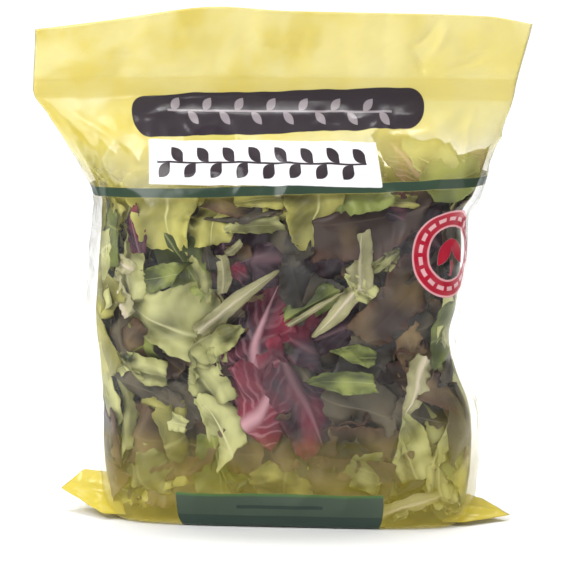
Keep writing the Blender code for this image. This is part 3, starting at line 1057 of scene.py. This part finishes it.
def sheet(places, prints, thickness):
    """A closed, flattened shell round a grid of places, thin at its edges."""
    rows, columns = places.shape[:2]
    normals = unit(np.cross(np.gradient(places, axis=1), np.gradient(places, axis=0)))
    a, b = np.meshgrid(np.linspace(0, 1, columns), np.linspace(0, 1, rows))
    swell = thickness / 2 * (0.3 + 0.7 * np.sqrt((4 * a * (1 - a) * 4 * b * (1 - b)).clip(0)))[..., None]
    front, rear = (places + normals * swell).reshape(-1, 3), (places - normals * swell).reshape(-1, 3)
    count = rows * columns
    faces = []
    for face in grid_faces(rows, columns):
        faces += [face, tuple(count + face[i] for i in (0, 3, 2, 1))]
    rim = list(range(columns))
    rim += [j * columns + columns - 1 for j in range(1, rows)]
    rim += [(rows - 1) * columns + i for i in range(columns - 2, -1, -1)]
    rim += [j * columns for j in range(rows - 2, 0, -1)]
    for i, j in zip(rim, rim[1:] + rim[:1]):
        faces.append((j, i, count + i, count + j))
    flat = prints.reshape(-1, 2)
    corners = [tuple(flat[i % count]) for face in faces for i in face]
    return np.concatenate([front, rear]), faces, corners


# The tube's bottom corners, in metres: lower edge and upper edge of each, from inside the body out to its tip
LEFT_EAR = (
    ((-0.0760, -0.0300, 0.0030), (-0.0880, -0.0300, 0.0032), (-0.1128, -0.0100, 0.0110)),
    ((-0.0860, -0.0100, 0.0200), (-0.0960, -0.0050, 0.0196), (-0.1023, -0.0010, 0.0190)),
)
RIGHT_EAR = (
    ((0.0840, -0.0280, 0.0024), (0.0956, -0.0280, 0.0022), (0.1180, -0.0140, 0.0030)),
    ((0.0860, -0.0080, 0.0130), (0.0960, -0.0050, 0.0110), (0.1031, -0.0020, 0.0085)),
)
EAR_ROWS, EAR_COLUMNS = 26, 22
EAR_THICKNESS = 0.0010
EAR_KNEE = 0.35  # how far out the middle points above are
EAR_FOLD = 0.0022
EAR_DENTS, EAR_CRUSHED = (0.0010, 0.010, 3), (0.0005, 0.008, 4)  # height, size and seed


def ear(edges, side):
    """A flattened corner of the tube, with a fold across it where it was pressed down."""
    a = np.linspace(0, 1, EAR_ROWS)
    lower, upper = (
        np.stack([np.interp(a, (0, EAR_KNEE, 1), np.array(edge)[:, axis]) for axis in range(3)], 1)
        for edge in edges
    )
    b = np.linspace(0, 1, EAR_COLUMNS)[None, :, None]
    places = lower[:, None] * (1 - b) + upper[:, None] * b
    far, high = np.meshgrid(a, b.ravel(), indexing="ij")
    flat = places.reshape(-1, 3)
    fold = EAR_FOLD * np.exp(-(((high - 0.55 + 0.3 * far) / 0.13) ** 2)) * np.sin(math.pi * far)
    dents = relief(noises, flat, *EAR_DENTS) + relief(crumples, flat, *EAR_CRUSHED)
    lift = (fold + dents.reshape(far.shape) * eased(far, 0.15, 0.5)) * 0.7
    # forwards and up alike
    places[..., 1] -= lift
    places[..., 2] = np.maximum(places[..., 2] + lift, BASE_FILM + EAR_THICKNESS / 2)
    prints = np.stack([side * (FLAT_WIDTH / 2 - 0.028 * (1 - far)), -0.026 + 0.016 * high], 2)
    return sheet(places, prints, EAR_THICKNESS)


BACK_SEAL_WIDTH = 0.012
BACK_SEAL_COLUMNS = 9
BACK_SEAL_FROM, BACK_SEAL_TO = 0.004, 0.985 * BAG_HEIGHT
BACK_SEAL_THICKNESS = 0.0003
BACK_SEAL_OFF = 0.0004  # off the back
BACK_SEAL_RIBS = 0.00012
UNPRINTED_HEIGHT = 0.100  # where the film has no print, as the margins of this seal have none


def back_seal():
    """The seal that closes the tube up its back: a narrow flap lying to one side, its edge a little loose."""
    girths = FLAT_WIDTH + np.linspace(0, BACK_SEAL_WIDTH, BACK_SEAL_COLUMNS)
    heights = np.arange(BACK_SEAL_FROM, BACK_SEAL_TO, FILM_STEP)
    places, prints, normals = film_surface(girths, [(z, 1.0) for z in heights])
    across = np.linspace(0, 1, BACK_SEAL_COLUMNS)
    loose = np.array([0.3 + 0.7 * noise.noise(Vector((0, 0, z / 0.025))) for z in heights])
    off = BACK_SEAL_OFF + across[None, :] * (0.0006 + 0.0007 * loose[:, None])
    ribs = BACK_SEAL_RIBS * np.sin(2 * math.pi * heights / SEAL_RIB)
    places = places + normals * (off + ribs[:, None])[..., None]
    prints[..., 1] = UNPRINTED_HEIGHT
    return sheet(places, prints, BACK_SEAL_THICKNESS)


def film_mesh():
    """All of the film: the tube, its two bottom corners and the seal up its back."""
    verts, faces, corners = np.empty((0, 3)), [], []
    for places, sides, prints in (tube(), ear(LEFT_EAR, -1), ear(RIGHT_EAR, 1), back_seal()):
        faces += [tuple(i + len(verts) for i in side) for side in sides]
        verts = np.concatenate([verts, places])
        corners += prints
    mesh = plain_mesh("bag_film", verts, faces)
    printed = mesh.uv_layers.new(name="print")
    printed.data.foreach_set("uv", np.array(corners, dtype=np.float32).ravel())
    shape = bmesh.new()
    shape.from_mesh(mesh)
    bmesh.ops.remove_doubles(shape, verts=shape.verts, dist=WELD)
    bmesh.ops.recalc_face_normals(shape, faces=shape.faces)
    shape.to_mesh(mesh)
    shape.free()
    return mesh


# ---------------------------------------------------------------------------------------------- print

PRINT_EDGE = 0.0004  # softness of a printed edge
CLEAR_HAZE = 0.012  # of the unprinted film
RUBBED_HAZE = 0.055  # where it was rubbed
# Yellow print and haze: the heights, or distances from a side fold, that it changes between, and how much it
# covers
FOOT_YELLOW = (-0.020, 0.008, 0.57)
LOW_YELLOW = (-0.006, 0.062, 0.34)
HIGH_YELLOW = (0.159, 0.204, 0.68)
# the milky band low down is partly the film folded up under the base and partly a painted reflection
FOLDED_AND_REFLECTED_HAZE = (0.043, 0.047, 0.07)  # over the film that was folded up under the base
# along the side folds: partly rubbed film and partly a painted sheen of film seen edge-on
SIDE_HAZE_AND_SHEEN = (0.0, 0.030, 0.24)
# How much higher the right fold's print is than the middle's, and how much lower the left fold's
BAND_RISE, YELLOW_RISE = 0.003, 0.005
LOW_YELLOW_RISE = 0.024  # at the right fold only
BAND = (0.1702, 0.0021)  # height, and half its width
BADGE = (0.0935, 0.1388)  # girth and height of its middle
# The badge's edging, ring and dashes: inner and outer radius
BADGE_RINGS = ((0.0134, 0.0218), (0.0144, 0.0208), (0.0168, 0.0184))
BADGE_RED = "b01f35"
BADGE_DASHES = 18
DASH_SHARE = 0.33  # half of a dash, of the way to the next
PANEL = (-0.0018, 0.0532)  # the panel at the foot: girth of its middle, and half its width
HALF_STEM = 0.0003  # of a garland
LEAF_OFF_STEM = 0.0004  # to one side of its cell's middle
EVERYWHERE = 1.0  # half the width or height of a field that has no ends
CLEAR_FILM, FOOT_INK, LEMON, DEEP_LEMON = "dddbde", "dac74c", "f9ec8c", "e6d258"
CLOUDS_AT_RIGHT = 0.35  # how much of the deep lemon is left at the right fold
FILM_ROUGHNESS = (0.13, 0.24)
GLOSS, GLOSS_AT_A_GLANCE = 0.016, 0.45


def print_group(name, inputs):
    """Starts a node group for a field of print: its tree, its inputs, and a place folded into one quarter."""
    tree = bpy.data.node_groups.new(name, "ShaderNodeTree")
    for socket in inputs:
        kind = "Vector" if socket in ("Place", "Centre", "Half size") else "Float"
        tree.interface.new_socket(socket, in_out="INPUT", socket_type=f"NodeSocket{kind}")
    tree.interface.new_socket("Field", in_out="OUTPUT", socket_type="NodeSocketFloat")
    given = add(tree, "NodeGroupInput", out=None).outputs
    off = add(tree, "VectorMath SUBTRACT", [given["Place"], given["Centre"]])
    turned = add(tree, "VectorRotate", {"Vector": off, "Angle": given["Angle"]}, rotation_type="Z_AXIS")
    return tree, given, add(tree, "VectorMath ABSOLUTE", [turned])


def finish_group(tree, beyond):
    """Ends it with its output, 1 in the field and 0 outside, from how far outside a place is."""
    field = add(tree, "MapRange", [beyond, 0.0, PRINT_EDGE, 1.0, 0.0], **SMOOTH)
    add(tree, "NodeGroupOutput", {"Field": field}, out=None)
    return tree


def panel_group():
    """A straight-sided field with round corners."""
    tree, given, quarter = print_group("printed panel", ("Place", "Centre", "Half size", "Corner", "Angle"))
    inner = add(tree, "VectorMath SUBTRACT", [given["Half size"], given["Corner"]])
    beyond = add(tree, "VectorMath SUBTRACT", [quarter, inner])
    outside = add(tree, "VectorMath MAXIMUM", [beyond, (0, 0, 0)])
    planar = add(tree, "VectorMath MULTIPLY", [outside, (1, 1, 0)])
    distance = add(tree, "VectorMath LENGTH", [planar], out="Value")
    return finish_group(tree, add(tree, "Math SUBTRACT", [distance, given["Corner"]]))


def leaf_group():
    """A plain pointed leaf: as wide in its middle as half width says, and none at its ends."""
    sockets = ("Place", "Centre", "Half width", "Half length", "Angle")
    tree, given, quarter = print_group("printed leaf", sockets)
    across, up = add(tree, "SeparateXYZ", [quarter], out=None).outputs[:2]
    reach = add(tree, "Math DIVIDE", [up, given["Half length"]])
    squared = add(tree, "Math MULTIPLY", [reach, reach])
    left = add(tree, "Math SUBTRACT", [1.0, squared])
    width = add(tree, "Math MULTIPLY", [left, given["Half width"]])
    return finish_group(tree, add(tree, "Math SUBTRACT", [across, width]))


def panel(node, place, centre, half, corner=0.0, angle=0.0):
    """A straight-sided field, from its middle and half its width and height."""
    values = [place, (*centre, 0), (*half, 1), corner, math.radians(angle)]
    return node("Group", values, node_tree=bpy.data.node_groups["printed panel"])


def leaf(node, place, centre, wide, long, angle):
    """A leaf's field, from its middle, width and length."""
    values = [place, (*centre, 0), wide / 2, long / 2, math.radians(angle)]
    return node("Group", values, node_tree=bpy.data.node_groups["printed leaf"])


def garland(node, where, centre, half, pitch, wide, long, lean):
    """A row of leaves, up and down by turns along a stem."""
    row = node("VectorMath SUBTRACT", [where, (*centre, 0)])
    run, rise = node("SeparateXYZ", [row], out=None).outputs[:2]
    cells = node("Math DIVIDE", [run, pitch])
    odd = node("Math FLOORED_MODULO", [node("Math FLOOR", [cells]), 2.0])
    side = node("Math MULTIPLY_ADD", [odd, 2.0, -1.0])
    part = node("Math SUBTRACT", [node("Math FRACT", [cells]), 0.5])
    cell = node("CombineXYZ", [node("Math MULTIPLY", [part, pitch]), node("Math MULTIPLY", [rise, side])])
    one = leaf(node, cell, (LEAF_OFF_STEM, 0.42 * long), wide, long, lean)
    stem = panel(node, row, (0, 0), (half, HALF_STEM))
    inside = panel(node, row, (0, 0), (half, EVERYWHERE))
    return node("Math MULTIPLY", [node("Math MAXIMUM", [one, stem]), inside])


def badge(node, where, girth):
    """The round badge's edging, its ring, and the dashes that it has in place of words."""
    off = node("VectorMath SUBTRACT", [where, (*BADGE, 0)])
    radius = node("VectorMath LENGTH", [off], out="Value")
    on_front = node("Math LESS_THAN", [girth, FLAT_WIDTH])
    rings = []
    for inner, outer in BADGE_RINGS:
        half = (outer - inner) / 2
        away = node("Math ABSOLUTE", [node("Math SUBTRACT", [radius, (inner + outer) / 2])])
        ring = node("MapRange", [away, half, half + PRINT_EDGE, 1.0, 0.0], **SMOOTH)
        rings.append(node("Math MULTIPLY", [ring, on_front]))
    x, y = node("SeparateXYZ", [off], out=None).outputs[:2]
    turn = node("Math ARCTAN2", [y, x])
    part = node("Math FRACT", [node("Math MULTIPLY", [turn, BADGE_DASHES / (2 * math.pi)])])
    away = node("Math ABSOLUTE", [node("Math SUBTRACT", [part, 0.5])])
    dashes = node("Math LESS_THAN", [away, DASH_SHARE])
    return *rings[:-1], node("Math MULTIPLY", [rings[-1], dashes])


def inks(node, where, girth, height, dip):
    """What is printed in flat inks, from the lowest up: field, colour, and how much it covers."""
    wavy = node("TexNoise", {"Vector": where, "Scale": 45.0, "Detail": 1.0}, out="Color")
    drift = node("VectorMath MULTIPLY_ADD", [wavy, (0.002, 0.003, 0), where])
    level = node("CombineXYZ", [girth, node("Math MULTIPLY_ADD", [dip, -BAND_RISE, height])])
    seal = panel(node, where, (0, (SEAL_LOW + SEAL_HIGH) / 2), (EVERYWHERE, (SEAL_HIGH - SEAL_LOW) / 2))
    edging, ring, dashes = badge(node, where, girth)
    x, y = BADGE
    middle, half = PANEL
    return (
        (node("Math MULTIPLY", [seal, 0.35]), "dcc766", 0.9),
        # the green band, all the way round
        (panel(node, level, (0, BAND[0]), (EVERYWHERE, BAND[1])), "35473a", 0.96),
        # the long dark field with a pale garland, and the white one under it with a dark garland
        (panel(node, drift, (0.0030, 0.2078), (0.0772, 0.0098), 0.0096, -2.1), "352e34", 0.97),
        (garland(node, where, (0.0035, 0.2066), 0.0588, 0.0084, 0.0038, 0.0074, 38), "968d92", 0.95),
        (panel(node, where, (-0.0075, 0.1826), (0.0598, 0.0102), 0.0006), "eeecf0", 0.98),
        (garland(node, where, (-0.0085, 0.1826), 0.0544, 0.0068, 0.0056, 0.0088, -42), "3a3338", 0.98),
        # the badge, with two leaves on a stalk in it
        (edging, "e3a3a8", 0.95),
        (ring, BADGE_RED, 0.97),
        (dashes, "e7b4b8", 0.95),
        (leaf(node, where, (x - 0.0042, y + 0.0010), 0.0062, 0.0150, 32), BADGE_RED, 0.95),
        (leaf(node, where, (x + 0.0042, y + 0.0010), 0.0062, 0.0150, -32), BADGE_RED, 0.95),
        (panel(node, where, (x, y - 0.0074), (0.0005, 0.0036)), BADGE_RED, 0.95),
        # the panel at the foot, which runs on under the base
        (panel(node, where, (middle, -0.0095), (half, 0.0273), 0.0005), "475648", 0.97),
        (panel(node, where, (middle, 0.0030), (half, 0.0032)), "36463e", 0.97),
        (panel(node, where, (middle, 0.0173), (half, 0.0005)), "4f7040", 0.97),
        (panel(node, where, (middle, 0.0110), (0.0220, 0.0007)), "33413c", 0.97),
    )


def yellow_print(node, height, dip):
    """How much the yellow covers: most at the header, then the foot, and none between them."""
    from_band = node("Math MULTIPLY_ADD", [dip, -YELLOW_RISE, height])
    at_right = node("Math POWER", [node("Math MAXIMUM", [dip, 0.0]), 5.0])
    from_base = node("Math MULTIPLY_ADD", [at_right, -LOW_YELLOW_RISE, height])
    foot, low = (
        node("MapRange", [up, full, gone, cover, 0.0], **SMOOTH)
        for up, (full, gone, cover) in ((height, FOOT_YELLOW), (from_base, LOW_YELLOW))
    )
    gone, full, cover = HIGH_YELLOW
    high = node("MapRange", [from_band, gone, full, 0.0, cover], **SMOOTH)
    return node("Math MAXIMUM", [node("Math ADD", [foot, low]), high])


def haze(node, where, girth, height):
    """How milky the clear film is: where it was rubbed, where it was folded up under the base, with a painted
    reflection there, and along its side folds, with a painted sheen of film seen edge-on.
    """
    smoke = node("TexNoise", {"Vector": where, "Scale": 22.0, "Detail": 2.0})
    rubbed = node("MapRange", [smoke, 0.48, 0.72, CLEAR_HAZE, RUBBED_HAZE], **SMOOTH)
    off_middle = node("Math PINGPONG", [girth, FLAT_WIDTH])
    off_fold = node("Math ABSOLUTE", [node("Math SUBTRACT", [off_middle, FLAT_WIDTH / 2])])
    # over the folded-up film, partly a painted reflection; along the side folds, partly a painted sheen of
    # film seen edge-on
    folded_and_reflected, creased = (
        node("MapRange", [away, full, gone, cover, 0.0], **SMOOTH)
        for away, (full, gone, cover) in ((height, FOLDED_AND_REFLECTED_HAZE), (off_fold, SIDE_HAZE_AND_SHEEN))
    )
    return node("Math ADD", [node("Math ADD", [rubbed, folded_and_reflected]), creased])


def ground(node, where, girth, height, dip):
    """The film before its flat inks: its colour, and how much it covers."""
    yellow = yellow_print(node, height, dip)
    # olive yellow low down and lemon above, in clouds of deeper lemon that are fainter at the right: partly
    # uneven ink and partly painted shade of the header's soft folds
    cloudy = node("TexNoise", {"Vector": where, "Scale": 32.0, "Detail": 3.0})
    clouds = node("MapRange", [cloudy, 0.38, 0.66], **SMOOTH)
    fainter = node("MapRange", [dip, 0.0, 1.0, 1.0, CLOUDS_AT_RIGHT])
    cloudy_ink_and_fold_shade = node("Math MULTIPLY", [clouds, fainter])
    lemon = node("Mix", {0: cloudy_ink_and_fold_shade, 6: hexed(LEMON), 7: hexed(DEEP_LEMON)}, **COLOUR)
    climb = node("MapRange", [height, 0.02, 0.16])
    yellows = node("Mix", {0: climb, 6: hexed(FOOT_INK), 7: lemon}, **COLOUR)
    printed_on = node("MapRange", [yellow, 0.0, 0.06])
    colour = node("Mix", {0: printed_on, 6: hexed(CLEAR_FILM), 7: yellows}, **COLOUR)
    # the yellow's cover varies with the same clouds: partly uneven ink and partly painted shade of the soft
    # folds
    uneven_ink_and_fold_shade = node("MapRange", [cloudy, 0.3, 0.7, 0.82, 1.14])
    printed = node("Math MULTIPLY", [yellow, uneven_ink_and_fold_shade])
    return colour, node("Math MAXIMUM", [printed, haze(node, where, girth, height)])


def film_finish():
    """Cast polypropylene film, printed inside: glossy and clear, with flat inks of different cover."""
    material, node, surface = blank_finish("printed cast polypropylene film")
    panel_group()
    leaf_group()
    where = node("UVMap", uv_map="print")
    girth, height = node("SeparateXYZ", [where], out=None).outputs[:2]
    # 1 at the right fold, -1 at the left, for print that lies a little askew
    dip = node("Math SINE", [node("Math MULTIPLY", [girth, math.pi / FLAT_WIDTH])])
    colour, opacity = ground(node, where, girth, height, dip)
    for field, code, cover in inks(node, where, girth, height, dip):
        colour = node("Mix", {0: field, 6: colour, 7: hexed(code)}, **COLOUR)
        left = node("Math MULTIPLY", [opacity, node("Math SUBTRACT", [1.0, field])])
        opacity = node("Math MULTIPLY_ADD", [field, cover, left])
    connect(surface, {"Base Color": colour, "Roughness": 0.5, "Specular IOR Level": 0.0})
    # its gloss, which is strongest at a glance
    fine = node("TexNoise", {"Vector": where, "Scale": 120.0, "Detail": 3.0})
    shine = node("MapRange", [fine, 0.3, 0.7, *FILM_ROUGHNESS])
    gloss = node("BsdfGlossy", {"Color": WHITE, "Roughness": shine})
    body = node("MixShader", [opacity, node("BsdfTransparent"), surface.outputs[0]])
    facing = node("LayerWeight", {"Blend": 0.5}, out="Facing")
    glance = node("Math MULTIPLY_ADD", [node("Math POWER", [facing, 3.0]), GLOSS_AT_A_GLANCE, GLOSS])
    whole = node("MixShader", [glance, body, gloss])
    connect(material.node_tree.nodes["Material Output"], {"Surface": whole})
    return material


# --------------------------------------------------------------------------------- floor, light, view

FLOOR_RADIUS = 2.0
FLOOR_FADE = (0.45, 1.5)  # where the paper starts to fade into the backdrop, and where it has gone


def stage():
    """A plain pale floor that fades into a white backdrop."""
    shape = bmesh.new()
    bmesh.ops.create_circle(shape, cap_ends=True, radius=FLOOR_RADIUS, segments=96)
    mesh = bpy.data.meshes.new("floor")
    shape.to_mesh(mesh)
    shape.free()
    floor = bpy.data.objects.new("floor", mesh)
    bpy.context.scene.collection.objects.link(floor)
    paper, node, surface = blank_finish("matt white paper")
    connect(surface, {"Base Color": hexed("f4f4f3"), "Roughness": 0.9})
    place = node("TexCoord", out="Object")
    away = node("VectorMath LENGTH", [place], out="Value")
    gone = node("MapRange", [away, *FLOOR_FADE], **SMOOTH)
    faded = node("MixShader", [gone, surface.outputs[0], node("BsdfTransparent")])
    connect(paper.node_tree.nodes["Material Output"], {"Surface": faded})
    mesh.materials.append(paper)


# Name, place, what it points at, size and power
LAMPS = (
    ("top left softbox", (-0.8, -0.9, 1.35), (0, 0, 0.12), (0.8, 0.8), 20),
    ("left strip softbox", (-1.45, -0.25, 0.55), (0, 0, 0.12), (0.35, 1.1), 5),
    ("right softbox", (1.5, -0.8, 0.9), (0, 0, 0.12), (0.8, 1.2), 5),
    ("light from above", (0, 0.5, 1.9), (0, 0.3, 0), (1.6, 1.0), 16),
    ("backdrop light", (0, 0.5, 2.2), (0, 1.6, 0.5), (2.6, 0.8), 60),
)
ROOM_LIGHT = 0.20
BACKDROP_LIGHT = 1.08  # as the camera sees it


def lights():
    """Softboxes, and a backdrop that is brighter to the camera than the light it gives."""
    world = bpy.data.worlds.new("studio")
    bpy.context.scene.world = world
    world.use_nodes = True
    tree = world.node_tree
    dim = tree.nodes["Background"]
    connect(dim, [WHITE, ROOM_LIGHT])
    white = add(tree, "Background", [WHITE, BACKDROP_LIGHT])
    seen = add(tree, "LightPath", out="Is Camera Ray")
    both = add(tree, "MixShader", [seen, dim.outputs[0], white])
    connect(tree.nodes["World Output"], {"Surface": both})
    for name, place, aim, size, power in LAMPS:
        light = bpy.data.lights.new(name, "AREA")
        light.shape = "RECTANGLE"
        light.size, light.size_y = size
        light.energy = power
        holder = bpy.data.objects.new(name, light)
        holder.location = place
        holder.rotation_euler = (Vector(aim) - Vector(place)).to_track_quat("-Z", "Y").to_euler()
        bpy.context.scene.collection.objects.link(holder)


VIEW_AZIMUTH = 5.0  # degrees to the right of the front
VIEW_ELEVATION = 9.0  # degrees
VIEW_DISTANCE = 1.20
VIEW_AIM = (0.0014, 0.0, 0.1147)
LENS = 146.0  # millimetres


def camera():
    """From a little above the bag and to the right of its middle, as a long lens sees it."""
    turn, rise = math.radians(VIEW_AZIMUTH), math.radians(VIEW_ELEVATION)
    away = Vector((math.sin(turn) * math.cos(rise), -math.cos(turn) * math.cos(rise), math.sin(rise)))
    view = bpy.data.cameras.new("camera")
    view.lens = LENS
    view.clip_start, view.clip_end = 0.05, 20
    holder = bpy.data.objects.new("camera", view)
    holder.location = Vector(VIEW_AIM) + away * VIEW_DISTANCE
    holder.rotation_euler = (-away).to_track_quat("-Z", "Y").to_euler()
    bpy.context.scene.collection.objects.link(holder)
    bpy.context.scene.camera = holder


def main():
    """Makes the pieces, then the stage. Every piece rides on the bag itself, which has no joints."""
    bpy.context.scene.view_settings.view_transform = "Standard"
    tree = scatter_tree()
    for key, spots in leaf_spots().items():
        leaves_on_points(KINDS[key], spots, tree, leaf_finish(key))
    heap_core()
    film = piece("bag_film", film_mesh(), film_finish())
    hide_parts("salad_bag")
    stage()
    lights()
    camera()


main()
